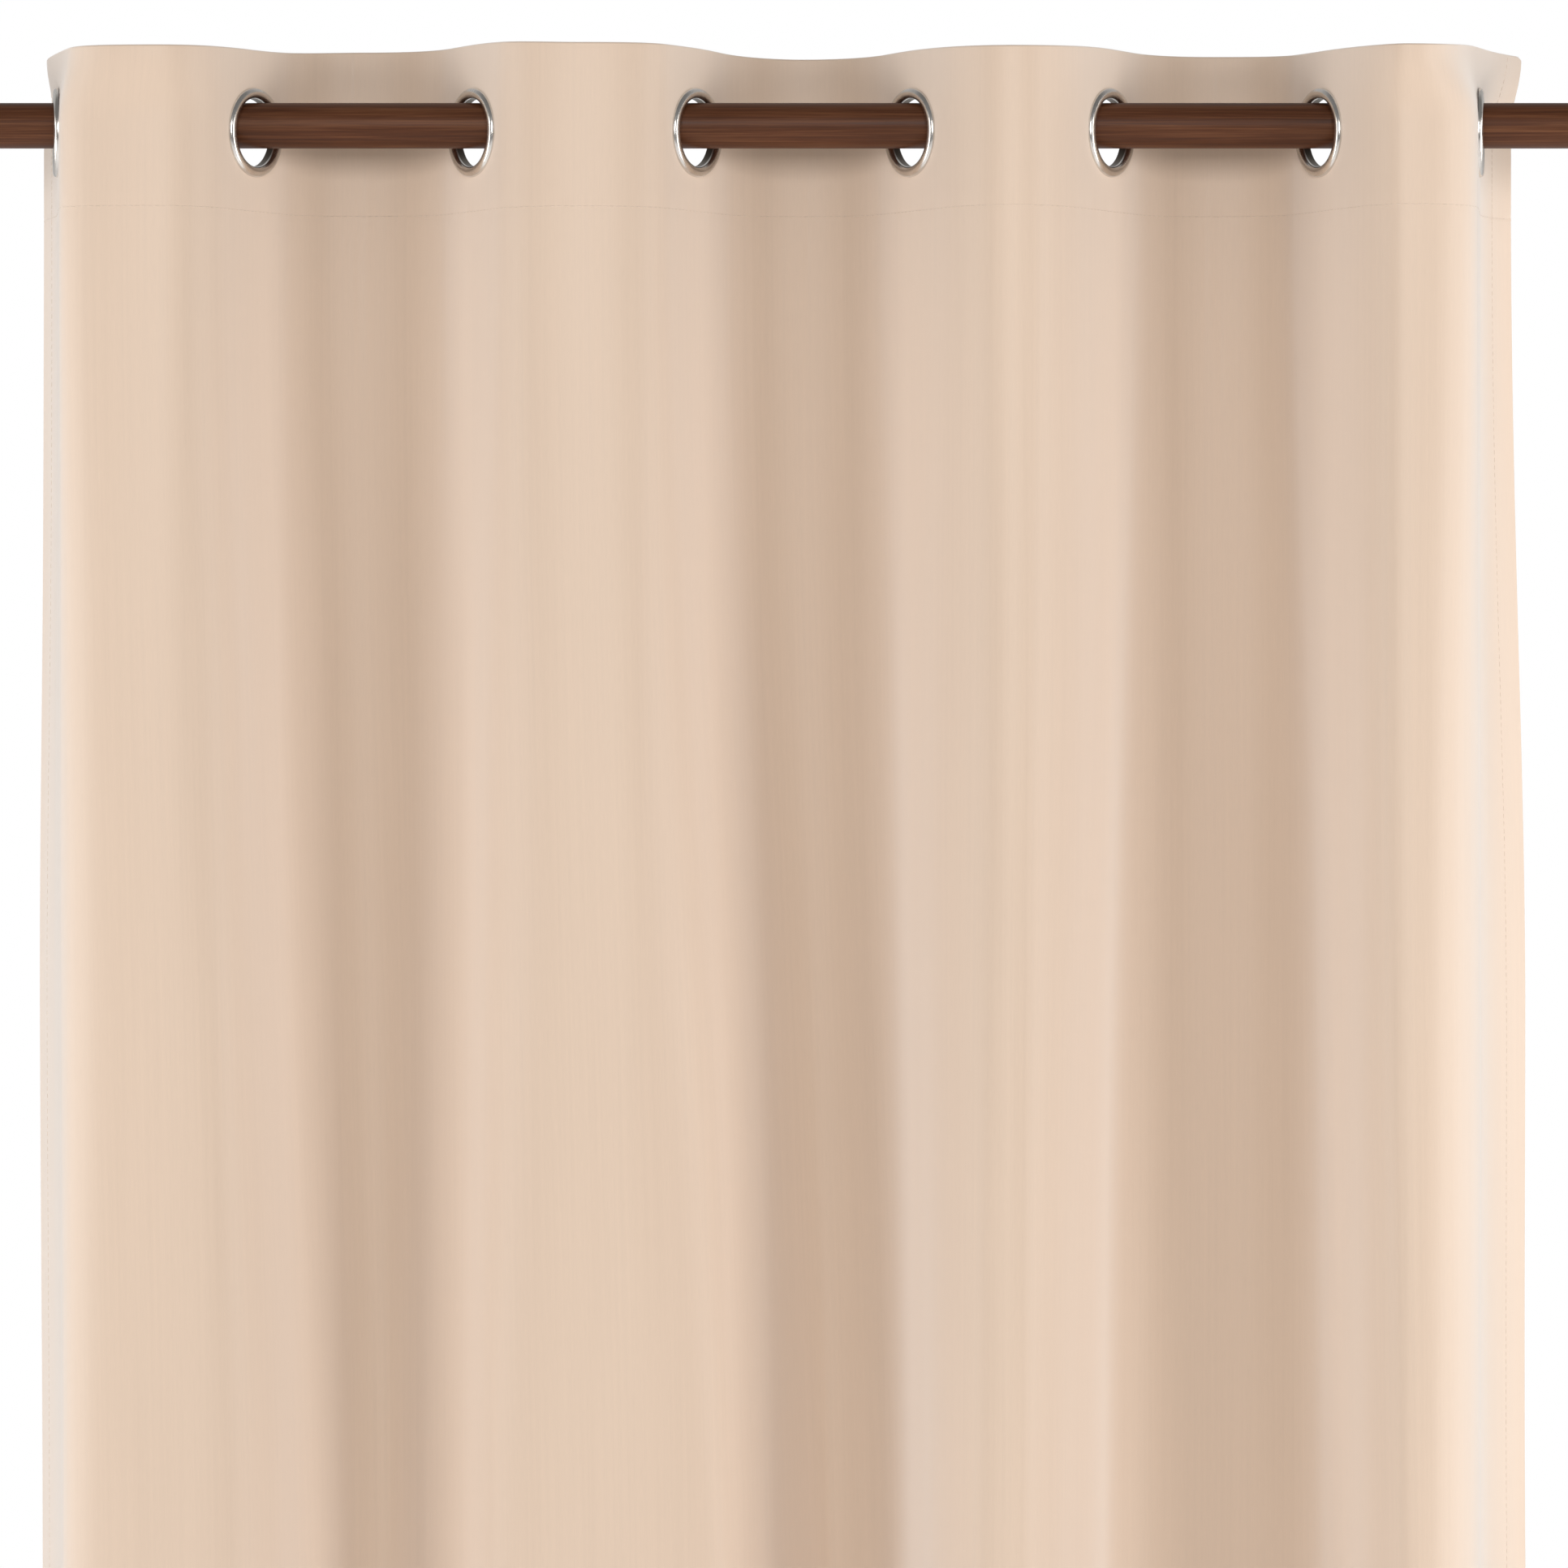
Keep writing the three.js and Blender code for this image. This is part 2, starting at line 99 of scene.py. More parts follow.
def box_of(*names):
    corners = [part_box(name) for name in names]
    low = Vector([min(c[0][i] for c in corners) for i in range(3)])
    high = Vector([max(c[1][i] for c in corners) for i in range(3)])
    return low, high


def middle_of(*names):
    low, high = box_of(*names)
    return (low + high) / 2


def vertices_of(node):
    return np.array([vertex.co for vertex in NODES[node].data.vertices], float)


def ring_axis(node):
    """The level direction in which a ring is thinnest, pointing to the wall."""
    points = vertices_of(node)
    directions = np.linalg.svd(points - points.mean(0), full_matrices=False)[2]
    axis = Vector((directions[2][0], directions[2][1], 0)).normalized()
    return axis if axis.y > 0 else -axis


EYELETS = range(8)
CENTRES = [middle_of(f"eyelet_front_{k + 1}", f"eyelet_back_{k + 1}") for k in EYELETS]
AXES = [ring_axis(f"eyelet_back_{k + 1}") for k in EYELETS]
TURNS = [math.atan2(abs(axis.x), axis.y) for axis in AXES]
# +1 where the cloth runs away from the room at an eyelet, -1 where it runs towards it.
AWAY = [1 if axis.x < 0 else -1 for axis in AXES]

ROD_LOW, ROD_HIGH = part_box("rod")
ROD_Y = (ROD_LOW.y + ROD_HIGH.y) / 2
ROD_RADIUS = (ROD_HIGH.z - ROD_LOW.z) / 2
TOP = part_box("heading_1")[1].z
STITCH_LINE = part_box("heading_1")[0].z
ABOVE_RINGS = CENTRES[0].z + EYELET_RADIUS
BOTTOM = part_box("cloth_1")[0].z


# ---- Materials ----

def new_material(name, **inputs):
    material = bpy.data.materials.new(name)
    material.use_nodes = True
    shader = material.node_tree.nodes["Principled BSDF"]
    for key, value in inputs.items():
        shader.inputs[key.replace("_", " ")].default_value = value
    return material, material.node_tree, shader


def add_node(tree, kind, **settings):
    node = tree.nodes.new(kind)
    for key, value in settings.items():
        if hasattr(node, key):
            setattr(node, key, value)
        else:
            node.inputs[key.replace("_", " ")].default_value = value
    return node


def stretched_noise(tree, source, scale, detail=3.0, roughness=0.5, distortion=0.0):
    """Noise over a coordinate that is first scaled along each of its axes."""
    mapping = add_node(tree, "ShaderNodeMapping")
    mapping.inputs["Scale"].default_value = scale
    tree.links.new(source, mapping.inputs["Vector"])
    noise = add_node(
        tree, "ShaderNodeTexNoise",
        Scale=1.0, Detail=detail, Roughness=roughness, Distortion=distortion,
    )
    tree.links.new(mapping.outputs["Vector"], noise.inputs["Vector"])
    return noise.outputs["Fac"]


def ramp(tree, factor, *stops):
    """A colour ramp through (position, colour) stops."""
    node = add_node(tree, "ShaderNodeValToRGB")
    elements = node.color_ramp.elements
    while len(elements) < len(stops):
        elements.new(0.5)
    for element, (position, colour) in zip(elements, stops):
        element.position = position
        element.color = (*colour, 1)
    tree.links.new(factor, node.inputs["Fac"])
    return node.outputs["Color"]


def spread(tree, factor, low, high):
    """A value from low to high as the factor goes from 0.3 to 0.7."""
    node = add_node(tree, "ShaderNodeMapRange")
    for key, value in (("From Min", 0.3), ("From Max", 0.7), ("To Min", low), ("To Max", high)):
        node.inputs[key].default_value = value
    tree.links.new(factor, node.inputs["Value"])
    return node.outputs["Result"]


def add_values(tree, first, second, operation="ADD"):
    node = add_node(tree, "ShaderNodeMath", operation=operation)
    tree.links.new(first, node.inputs[0])
    tree.links.new(second, node.inputs[1])
    return node.outputs["Value"]


def bump(tree, shader, height, strength, distance):
    node = add_node(tree, "ShaderNodeBump", Strength=strength, Distance=distance)
    tree.links.new(height, node.inputs["Height"])
    tree.links.new(node.outputs["Normal"], shader.inputs["Normal"])


def cloth_material():
    """A satin weave: close vertical warp, finer weft, faint slubs and a slow change of shade."""
    material, tree, shader = new_material(
        "curtain_satin", Roughness=0.46, Specular_IOR_Level=0.5,
        Sheen_Weight=1.0, Sheen_Roughness=0.68, Sheen_Tint=(1.0, 0.96, 0.92, 1),
    )
    uv = add_node(tree, "ShaderNodeUVMap", uv_map="cloth").outputs["UV"]
    warp = stretched_noise(tree, uv, (3400, 90, 1), detail=1)
    weft = stretched_noise(tree, uv, (90, 3200, 1), detail=1)
    slub = stretched_noise(tree, uv, (420, 4, 1), detail=2, roughness=0.6)
    shade = stretched_noise(tree, uv, (4.0, 2.2, 1), detail=2)
    weave = add_values(tree, warp, weft)
    tone = add_values(tree, add_values(tree, warp, slub), shade)
    colour = ramp(
        tree, add_values(tree, tone, add_third(tree), "MULTIPLY"),
        (0.36, (0.620, 0.456, 0.330)), (0.64, (0.664, 0.490, 0.356)),
    )
    tree.links.new(colour, shader.inputs["Base Color"])
    tree.links.new(spread(tree, slub, 0.42, 0.52), shader.inputs["Roughness"])
    bump(tree, shader, weave, 0.14, 0.1 * MM)
    return material


def add_third(tree):
    node = add_node(tree, "ShaderNodeValue")
    node.outputs[0].default_value = 1 / 3
    return node.outputs[0]


def thread_material():
    material, tree, shader = new_material("sewing_thread", Roughness=0.5, Sheen_Weight=0.6)
    place = add_node(tree, "ShaderNodeTexCoord").outputs["Object"]
    twist = stretched_noise(tree, place, (900, 900, 900), detail=1)
    colour = ramp(tree, twist, (0.3, (0.58, 0.44, 0.34)), (0.7, (0.68, 0.53, 0.42)))
    tree.links.new(colour, shader.inputs["Base Color"])
    bump(tree, shader, twist, 0.4, 0.1 * MM)
    return material


def stiffener_material():
    """Buckram: an open, coarse, off-white weave."""
    material, tree, shader = new_material("buckram", Roughness=0.9)
    uv = add_node(tree, "ShaderNodeUVMap", uv_map="cloth").outputs["UV"]
    threads = add_values(
        tree, stretched_noise(tree, uv, (900, 20, 1)), stretched_noise(tree, uv, (20, 900, 1)),
    )
    half = add_values(tree, threads, add_third(tree), "MULTIPLY")
    colour = ramp(tree, half, (0.2, (0.70, 0.66, 0.58)), (0.5, (0.86, 0.83, 0.76)))
    tree.links.new(colour, shader.inputs["Base Color"])
    bump(tree, shader, threads, 0.5, 0.2 * MM)
    return material


def metal_material(name, dark, light, roughness, relief=0.03):
    """Plated metal with faint unevenness in tone, polish and surface."""
    material, tree, shader = new_material(name, Metallic=1.0)
    place = add_node(tree, "ShaderNodeTexCoord").outputs["Object"]
    cloud = stretched_noise(tree, place, (60, 60, 60), detail=3)
    fine = stretched_noise(tree, place, (1300, 1300, 1300), detail=2)
    tree.links.new(ramp(tree, cloud, (0.3, dark), (0.7, light)), shader.inputs["Base Color"])
    rough = spread(tree, add_values(tree, cloud, fine, "MULTIPLY"), roughness, roughness * 1.7)
    tree.links.new(rough, shader.inputs["Roughness"])
    bump(tree, shader, fine, relief, 0.05 * MM)
    return material


def walnut_material():
    """Dark stained wood: long grain along the rod, darker pores and a satin lacquer."""
    material, tree, shader = new_material(
        "dark_walnut", Roughness=0.5, Specular_IOR_Level=0.15, Coat_Weight=0.03,
        Coat_Roughness=0.3,
    )
    place = add_node(tree, "ShaderNodeTexCoord").outputs["Object"]
    broad = stretched_noise(tree, place, (2.2, 90, 90), detail=5, roughness=0.6, distortion=1.2)
    fine = stretched_noise(tree, place, (14, 900, 900), detail=3, roughness=0.7)
    grain = add_values(tree, add_values(tree, broad, fine), add_third(tree), "MULTIPLY")
    colour = ramp(
        tree, grain,
        (0.22, (0.044, 0.015, 0.007)), (0.33, (0.085, 0.029, 0.012)),
        (0.45, (0.160, 0.064, 0.028)),
    )
    tree.links.new(colour, shader.inputs["Base Color"])
    tree.links.new(spread(tree, fine, 0.36, 0.52), shader.inputs["Roughness"])
    bump(tree, shader, fine, 0.25, 0.12 * MM)
    return material


def floor_material():
    material, tree, shader = new_material(
        "studio_floor", Roughness=0.8, Emission_Color=(1, 1, 1, 1), Emission_Strength=0.40,
    )
    place = add_node(tree, "ShaderNodeTexCoord").outputs["Object"]
    cloud = stretched_noise(tree, place, (0.6, 0.6, 0.6))
    colour = ramp(tree, cloud, (0.3, (0.80, 0.80, 0.80)), (0.7, (0.84, 0.84, 0.84)))
    tree.links.new(colour, shader.inputs["Base Color"])
    return material


SATIN = cloth_material()
THREAD = thread_material()
BUCKRAM = stiffener_material()
NICKEL = metal_material("polished_nickel", (0.62, 0.58, 0.54), (0.78, 0.75, 0.71), 0.22)
# Dark metal for the eyelets' inner barrels: painted shade, standing in for the shadow inside the
# hole.
BARREL_PAINTED_SHADE = metal_material("eyelet_barrel_painted_shade", (0.10, 0.085, 0.07), (0.17, 0.145, 0.12), 0.30)
SATIN_NICKEL = metal_material("satin_nickel", (0.50, 0.48, 0.45), (0.62, 0.60, 0.57), 0.26)
ZINC = metal_material("zinc_plate", (0.42, 0.43, 0.44), (0.60, 0.61, 0.62), 0.30, relief=0.12)
WALNUT = walnut_material()


# ---- Mesh helpers ----

def new_object(name, vertices, faces, material):
    mesh = bpy.data.meshes.new(name)
    mesh.from_pydata([tuple(v) for v in vertices], [], [tuple(f) for f in faces])
    mesh.materials.append(material)
    mesh.polygons.foreach_set("use_smooth", [True] * len(mesh.polygons))
    thing = bpy.data.objects.new(name, mesh)
    bpy.context.scene.collection.objects.link(thing)
    return thing


def sharpen(thing):
    """Keeps edges sharp where faces meet at more than SHARP_ANGLE."""
    editing = bmesh.new()
    editing.from_mesh(thing.data)
    for edge in editing.edges:
        normals = [face.normal for face in edge.link_faces]
        edge.smooth = len(normals) == 2 and normals[0].angle(normals[1], 0) < SHARP_ANGLE
    editing.to_mesh(thing.data)
    editing.free()
    return thing


def frame_along(axis):
    """A rotation that takes +Z to the axis."""
    return Vector((0, 0, 1)).rotation_difference(Vector(axis)).to_matrix().to_4x4()


def turned(name, outline, centre, axis, material, steps=72, closed=False):
    """A turned piece. The outline's (radius, height) points run so that the outside is on their
    right; it starts and ends on the axis, or closes on itself."""
    place = Matrix.Translation(Vector(centre)) @ frame_along(axis)
    vertices, rings = [], []
    for radius, height in outline:
        if radius < 1e-9:
            rings.append([len(vertices)] * steps)
            vertices.append(place @ Vector((0, 0, height)))
            continue
        rings.append(list(range(len(vertices), len(vertices) + steps)))
        for i in range(steps):
            angle = 2 * math.pi * i / steps
            vertices.append(
                place @ Vector((radius * math.cos(angle), radius * math.sin(angle), height))
            )
    pairs = list(zip(rings, rings[1:]))
    if closed:
        pairs.append((rings[-1], rings[0]))
    faces = []
    for lower, upper in pairs:
        for i in range(steps):
            j = (i + 1) % steps
            corners = [lower[i], lower[j], upper[j], upper[i]]
            faces.append(tuple(dict.fromkeys(corners)))
    return sharpen(new_object(name, vertices, faces, material))


def arc(centre, radius, start, end, count):
    """Points on an arc in a turned piece's outline, angles in degrees from outwards."""
    angles = np.radians(np.linspace(start, end, count))
    return [(centre[0] + radius * math.cos(a), centre[1] + radius * math.sin(a)) for a in angles]


def threaded(name, core, crest, pitch, start, end, place, material, steps=24):
    """A tapered, threaded shank along local +Z: a helical ridge on a round core."""
    rows = max(8, int((end - start) / pitch * 6))
    vertices, faces = [], []
    for row in range(rows + 1):
        share = row / rows
        height = start + (end - start) * share
        taper = min(1.0, (1 - share) * 6) * min(1.0, 0.4 + share * 8)
        for i in range(steps):
            angle = 2 * math.pi * i / steps
            phase = (height / pitch - i / steps) % 1.0
            ridge = max(0.0, 1 - abs(phase - 0.5) * 3.2)
            radius = (core + (crest - core) * ridge) * max(taper, 0.05)
            vertices.append(
                place @ Vector((radius * math.cos(angle), radius * math.sin(angle), height))
            )
    for row in range(rows):
        for i in range(steps):
            j = (i + 1) % steps
            a, b = row * steps, (row + 1) * steps
            faces.append((a + i, a + j, b + j, b + i))
    faces.append(tuple(reversed(range(steps))))
    faces.append(tuple(range(rows * steps, (rows + 1) * steps)))
    return new_object(name, vertices, faces, material)


def finish_piece(thing, body, slot, *nodes):
    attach(thing, body)
    if nodes:
        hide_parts(*nodes)
    return thing


# ---- The cloth's plan at each height ----

def ease(value):
    value = np.clip(value, 0, 1)
    return value * value * (3 - 2 * value)


def natural_turn(pitch):
    """How steeply a free wave of cloth crosses its middle line, from its pitch: the first terms
    of the series for a curve whose direction swings as a sine of the distance along it."""
    slack = 1 - pitch / FOLD_CLOTH
    return 2 * math.sqrt(slack + slack ** 2 / 4 + 0.0972 * slack ** 3)


def bezier(points, count):
    t = np.linspace(0, 1, count)[:, None]
    a, b, c, d = [np.array(point, float) for point in points]
    return (1 - t) ** 3 * a + 3 * (1 - t) ** 2 * t * b + 3 * (1 - t) * t ** 2 * c + t ** 3 * d


def line_length(points):
    return np.hypot(*np.diff(points, axis=0).T).sum()


def to_crest(turn, flat, half_pitch, depth, count=26):
    """From an eyelet's line to a fold's crest, measured outwards from the eyelet's line."""
    out = np.array((math.cos(turn), math.sin(turn)))
    corner = out * depth / out[1]
    start = out * min(flat, 0.7 * depth / out[1])
    pull = start + 0.35 * (corner - start)
    curve = bezier((start, pull, corner, (half_pitch, depth)), count)
    return np.vstack(((0, 0), curve)) if flat > 1e-6 else curve


def fold_depth(left_turn, right_turn, flat, pitch):
    """How deep a fold stands so that it takes up its share of the cloth."""
    low = 5 * MM
    high = 0.49 * pitch * min(math.tan(left_turn), math.tan(right_turn), 3.0)
    for _ in range(16):
        depth = (low + high) / 2
        length = sum(
            line_length(to_crest(turn, flat, pitch / 2, depth, 10))
            for turn in (left_turn, right_turn)
        )
        low, high = (depth, high) if length < FOLD_CLOTH else (low, depth)
    return depth


def to_edge(turn, end_turn, flat):
    """From an outermost eyelet's line to the free edge, outwards."""
    out = np.array((math.cos(turn), math.sin(turn)))
    last = np.array((math.cos(end_turn), math.sin(end_turn)))
    start = out * flat
    pull = start + out * (FLAP - flat) / 2
    end = pull + last * (FLAP - flat) / 2
    curve = bezier((start, start + (pull - start) * 2 / 3, end + (pull - end) * 2 / 3, end), 26)
    return np.vstack(((0, 0), curve))


def plan_at(height):
    """Where the eyelets' lines are at a height, how they are turned, and how far they are flat."""
    drop = max(0.0, STITCH_LINE - height)
    loosened = float(ease(drop / 0.5))
    lines = []
    for k in EYELETS:
        sway = 6 * MM * math.sin(2.1 * drop + 1.7 * k) * float(ease((drop - 0.6) / 1.2))
        lines.append(CENTRES[k].x + DRIFT[k] * float(ease(drop / 0.95)) + sway)
    free = [natural_turn(right - left) for left, right in zip(lines, lines[1:])]
    inner = [(a + b) / 2 for a, b in zip(free, free[1:])]
    loose = [TURNS[0], *inner, TURNS[-1]]
    turns = [top + (low - top) * loosened for top, low in zip(TURNS, loose)]
    high = float(ease(height / TOP))
    for outermost, easing in zip((0, -1), TOP_EASING):
        turns[outermost] -= easing * high
    return lines, turns, FLAT_HALF + (5 * MM - FLAT_HALF) * loosened


def edge_turns(height):
    """How the free edges are turned at a height: their corners stand off above the rod."""
    share = float(ease((height + 10 * MM) / (TOP + 10 * MM)))
    return [low + (top - low) * share for low, top in zip(FLAP_END_TURN, FLAP_CORNER_TURN)]


def top_rise(distance):
    """How far the top edge rises over a distance across the cloth, with its corners rounded."""
    width = 2 * FLAP + (len(CENTRES) - 1) * FOLD_CLOTH
    stations = [0, *(FLAP + FOLD_CLOTH / 2 * n for n in range(2 * len(CENTRES) - 1)), width]
    place = np.interp(distance, stations, range(len(stations)))
    before = np.minimum(place.astype(int), len(stations) - 2)
    rise = np.array(TOP_RISE)
    level = rise[before] + (rise[before + 1] - rise[before]) * ease(place - before)
    inside = np.clip(np.minimum(distance, width - distance) / CORNER_RADIUS, 0, 1)
    return level - CORNER_RADIUS * (1 - np.sqrt(1 - (1 - inside) ** 2))


def cloth_line(height):
    """The fold line over the whole width at a height: (cloth distance, x, y) at close steps."""
    lines, turns, flat = plan_at(height)
    end_turns = edge_turns(height)
    distances, points = [], []

    def add(part, start, end, at_start):
        """Adds one stretch of the line, scaled to run from one cloth distance to another."""
        steps = np.concatenate(([0], np.cumsum(np.hypot(*np.diff(part, axis=0).T))))
        steps = start + steps / steps[-1] * (end - start)
        skip = 0 if at_start else 1
        distances.extend(steps[skip:])
        points.extend(part[skip:])

    def placed(part, k, side):
        """A stretch drawn outwards from an eyelet's line, put in its place."""
        scale = np.array((side, side * AWAY[k]))
        return np.array((lines[k], ROD_Y)) + part * scale

    left_edge = placed(to_edge(turns[0], end_turns[0], flat), 0, -1)[::-1]
    add(left_edge, 0, FLAP, True)
    for k in range(len(lines) - 1):
        pitch = lines[k + 1] - lines[k]
        depth = fold_depth(turns[k], turns[k + 1], flat, pitch)
        left = placed(to_crest(turns[k], flat, pitch / 2, depth), k, 1)
        right = placed(to_crest(turns[k + 1], flat, pitch / 2, depth), k + 1, -1)[::-1]
        start = FLAP + k * FOLD_CLOTH
        share = line_length(left) / (line_length(left) + line_length(right))
        add(left, start, start + share * FOLD_CLOTH, False)
        add(right, start + share * FOLD_CLOTH, start + FOLD_CLOTH, False)
    end = FLAP + (len(lines) - 1) * FOLD_CLOTH
    right_edge = placed(to_edge(turns[-1], end_turns[1], flat), len(lines) - 1, 1)
    add(right_edge, end, end + FLAP, False)
    return np.array(distances), np.array(points)


# ---- The cloth as a grid: rows follow the cloth over its hems, columns run across it ----

def cloth_rows():
    """The cloth's path from the hem's turned-up edge behind, under the bottom, up the front, over
    the top and down behind to the stitch line. Each row is its height, its offset from the fold
    line, and the inward direction there as (towards the wall, upwards)."""
    rows = []
    touch = FACE_OFFSET + CLOTH_THICKNESS * 1.02
    radius = LAYER_SPREAD
    low, high = BOTTOM + radius + CLOTH_THICKNESS / 2, TOP - radius - CLOTH_THICKNESS / 2

    def behind(height, stitched):
        share = float(ease(abs(height - stitched) / PINCH))
        return touch + (LAYER_SPREAD - touch) * share

    hem_top = BOTTOM + BOTTOM_HEM
    for height in (*np.linspace(hem_top, hem_top - PINCH, 5),
                   *np.linspace(hem_top - 14 * MM, low, 8)):
        rows.append((height, behind(height, hem_top), -1, 0))
    for angle in np.linspace(0, math.pi, 8)[1:-1]:
        rows.append((low - radius * math.sin(angle), radius * math.cos(angle),
                     -math.cos(angle), math.sin(angle)))
    stitch = STITCH_LINE + 1.2 * MM
    hem_stitch = hem_top - 2 * MM
    front = [
        *np.linspace(low, hem_stitch - 8 * MM, 7),
        *(hem_stitch + np.array((-4, -1.5, 0, 1.5, 4)) * MM),
        *np.linspace(hem_stitch + 10 * MM, stitch - 40 * MM, 168),
        *(stitch + np.array((-30, -21, -14, -9, -5, -1.8, 0, 1.8, 5)) * MM),
        *np.linspace(stitch + 9 * MM, high, 24),
    ]
    for height in front:
        rows.append((height, FACE_OFFSET, 1, 0))
    for angle in np.linspace(0, math.pi, 9)[1:-1]:
        rows.append((high + radius * math.sin(angle), -radius * math.cos(angle),
                     math.cos(angle), -math.sin(angle)))
    for height in (*np.linspace(high, STITCH_LINE + 10 * MM, 24),
                   *np.linspace(STITCH_LINE + PINCH, STITCH_LINE, 5)):
        rows.append((height, behind(height, STITCH_LINE), -1, 0))
    return np.array(rows)


def cloth_columns():
    """Across the cloth: each column's distance from the left edge and how far it is turned in
    behind, as (distance, offset inwards), and the columns of the eyelets' lines."""
    columns, lines = [], []
    radius = SIDE_HEM_OFFSET / 2
    touch = CLOTH_THICKNESS * 1.02
    hem = [(SIDE_HEM, touch), (SIDE_HEM - 3 * MM, SIDE_HEM_OFFSET)]
    hem += [(d, SIDE_HEM_OFFSET) for d in np.linspace(SIDE_HEM - 6 * MM, radius, 5)]
    hem += [(radius - radius * math.sin(a), radius + radius * math.cos(a))
            for a in np.linspace(0, math.pi, 6)[1:]]
    columns += hem
    columns += [(d, 0) for d in np.linspace(radius, FLAP, 21)[1:]]
    lines.append(len(columns) - 1)
    for k in range(len(CENTRES) - 1):
        start = FLAP + k * FOLD_CLOTH
        columns += [(d, 0) for d in np.linspace(start, start + FOLD_CLOTH, 45)[1:]]
        lines.append(len(columns) - 1)
    width = 2 * FLAP + (len(CENTRES) - 1) * FOLD_CLOTH
    columns += [(d, 0) for d in np.linspace(width - FLAP, width - radius, 21)[1:-1]]
    columns += [(width - d, offset) for d, offset in reversed(hem)]
    return np.array(columns), lines


def ripples(distance, height):
    """Soft unevenness of the hanging cloth below the heading."""
    drop = STITCH_LINE - height
    amount = ease(drop / 0.35)
    slow = 0.55 * np.sin(2 * math.pi * distance / 0.083 + 2.0 * np.sin(1.3 * drop))
    small = 0.28 * np.sin(2 * math.pi * distance / 0.047 + 3.1 * drop)
    long = 0.5 * np.sin(2 * math.pi * drop / 0.62 + 9 * distance)
    return (slow + small + long) * amount * MM


def pucker(distance, height):
    """The slight gathering of the cloth along the heading's stitches."""
    away = (height - STITCH_LINE - 1.2 * MM) / (7 * MM)
    closeness = math.exp(-away * away)
    wave = 0.10 * np.sin(2 * math.pi * distance / 0.0127) + 0.07 * np.sin(
        2 * math.pi * distance / 0.0311
    )
    groove = 0.12 * math.exp(-(away * 3.5) ** 2)
    return (wave * closeness + groove) * MM


def cloth_grid():
    """Every grid point's place and normal."""
    rows, (columns, lines) = cloth_rows(), cloth_columns()
    distance, inward = columns.T
    places = np.zeros((len(rows), len(columns), 3))
    rise = top_rise(distance)
    for i, (height, offset, towards_wall, upwards) in enumerate(rows):
        steps, line = cloth_line(height)
        direction = np.gradient(line, steps, axis=0)
        x, y = [np.interp(distance, steps, line[:, axis]) for axis in (0, 1)]
        along = np.stack([np.interp(distance, steps, direction[:, a]) for a in (0, 1)])
        along /= np.hypot(*along)
        level = np.stack((-along[1], along[0]))
        push = offset + inward * towards_wall
        if towards_wall == 1:
            push = push + ripples(distance, height) + pucker(distance, height)
        elif height < STITCH_LINE:
            push = push + ripples(distance, height)
        places[i, :, 0] = x + level[0] * push
        places[i, :, 1] = y + level[1] * push
        places[i, :, 2] = height + inward * upwards
        places[i, :, 2] += rise * float(ease((height - ABOVE_RINGS) / (TOP - ABOVE_RINGS)))
    across = np.gradient(places, axis=1)
    up = np.gradient(places, axis=0)
    normals = np.cross(across, up)
    normals /= np.linalg.norm(normals, axis=2, keepdims=True)
    return rows, columns, lines, places, normals


def cut_eyelet_holes(rows, columns, lines, places, normals):
    """Marks the grid's cells to keep and draws the cells round each hole onto its circle."""
    keep = np.ones((len(rows) - 1, len(columns) - 1), bool)
    in_heading = rows[:, 0] > STITCH_LINE + 4 * MM
    middles = (rows[1:, 0] + rows[:-1, 0]) / 2
    flat_cells = in_heading[1:] & in_heading[:-1]
    for k, line in enumerate(lines):
        span = range(line - HOLE_REACH, line + HOLE_REACH + 1)
        for i in np.nonzero(flat_cells)[0]:
            for j in span[:-1]:
                s = (columns[j, 0] + columns[j + 1, 0]) / 2 - columns[line, 0]
                if math.hypot(s, middles[i] - CENTRES[k].z) < HOLE_RADIUS:
                    keep[i, j] = False
        along = Vector((AXES[k].y, -AXES[k].x, 0))
        for i in np.nonzero(in_heading)[0][1:-1]:
            for j in span:
                around = keep[i - 1:i + 1, j - 1:j + 1]
                if around.all() or not around.any():
                    continue
                s, up = columns[j, 0] - columns[line, 0], rows[i, 0] - CENTRES[k].z
                scale = HOLE_RADIUS / math.hypot(s, up)
                offset = rows[i, 1]
                base = Vector((CENTRES[k].x, ROD_Y, CENTRES[k].z + up * scale))
                places[i, j] = base + along * s * scale + AXES[k] * offset
                normals[i, j] = -AXES[k] if offset < 0 else AXES[k]
    return keep


